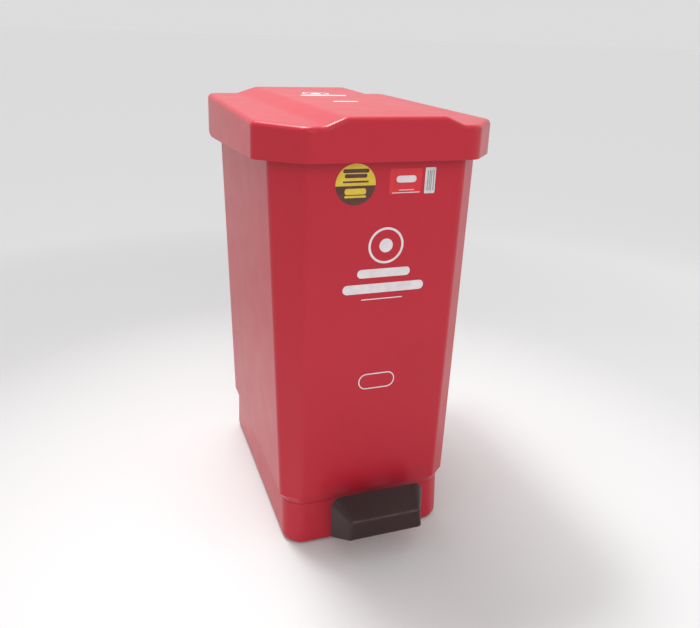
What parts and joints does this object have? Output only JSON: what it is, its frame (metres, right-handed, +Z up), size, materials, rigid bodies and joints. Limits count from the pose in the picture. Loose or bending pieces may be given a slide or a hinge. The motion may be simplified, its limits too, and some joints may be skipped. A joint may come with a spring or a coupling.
{
  "type": "pedal bin",
  "caption": "Tapered plastic pedal bin for a hospital ward, with a hinged lid that a foot pedal lifts through a lever and a rod in the back.",
  "frame": {"origin": "on the floor, under the middle of the bounding box of the closed bin", "axes": "+Z up; -Y out of the front, over the pedal; +X to the right of someone who faces the front"},
  "size_m": [0.2898, 0.4164, 0.5458],
  "materials": {
    "red_plastic": "satin-gloss moulded red polypropylene",
    "black_plastic": "satin moulded black plastic",
    "grey_plastic": "plain moulded grey plastic",
    "rubber": "matt moulded rubber",
    "zinc_steel": "bright zinc-plated steel"
  },
  "bodies": {
    "bin": {"body_shell": "red_plastic", "base_foot": "red_plastic", "foot_front_left": "rubber", "foot_front_right": "rubber", "foot_back_left": "rubber", "foot_back_right": "rubber", "base_screw_1": "zinc_steel", "base_screw_2": "zinc_steel", "base_screw_3": "zinc_steel", "base_screw_4": "zinc_steel", "bag_ring": "zinc_steel", "axle_bracket_left": "grey_plastic", "axle_bracket_right": "grey_plastic", "bracket_screw_1": "zinc_steel", "bracket_screw_2": "zinc_steel", "bracket_screw_3": "zinc_steel", "bracket_screw_4": "zinc_steel", "pedal_axle": "zinc_steel", "axle_clip_left": "zinc_steel", "axle_clip_right": "zinc_steel", "rod_guide_lower": "grey_plastic", "rod_guide_upper": "grey_plastic", "hinge_block_left": "red_plastic", "hinge_block_right": "red_plastic", "hinge_pin_left": "zinc_steel", "hinge_pin_right": "zinc_steel", "hinge_screw_1": "zinc_steel", "hinge_screw_2": "zinc_steel", "hinge_screw_3": "zinc_steel", "hinge_screw_4": "zinc_steel"},
    "pedal": {"pedal_lever": "zinc_steel", "pedal_pad": "black_plastic", "lever_bush_left": "grey_plastic", "lever_bush_right": "grey_plastic", "pad_screw_left": "zinc_steel", "pad_screw_right": "zinc_steel"},
    "rod": {"lift_rod": "zinc_steel", "rod_cap_lower": "black_plastic", "rod_cap_upper": "black_plastic"},
    "lid": {"lid_shell": "red_plastic", "lift_lug": "zinc_steel", "lug_screw_1": "zinc_steel", "lug_screw_2": "zinc_steel", "lid_bumper_front_left": "rubber", "lid_bumper_front_right": "rubber", "lid_bumper_back_left": "rubber", "lid_bumper_back_right": "rubber"}
  },
  "joints": [
    {"name": "lid_hinge", "type": "hinge", "parent": "bin", "child": "lid", "pos_m": [0, 0.19524, 0.503], "axis": [-1, 0, 0], "range_deg": [0, 70]},
    {"name": "pedal_tilt", "type": "hinge", "parent": "bin", "child": "pedal", "pos_m": [0, -0.045, 0.03], "axis": [1, 0, 0], "range_deg": [0, 8.2]},
    {"name": "rod_lift", "type": "slide", "parent": "bin", "child": "rod", "axis": [0, 0.0198, 0.9998], "range_m": [0, 0.0301]}
  ],
  "couplings": [
    {"joint": "pedal_tilt", "follows": "lid_hinge", "ratio": 0.11703},
    {"joint": "rod_lift", "follows": "lid_hinge", "m_per_rad": 0.024555}
  ]
}
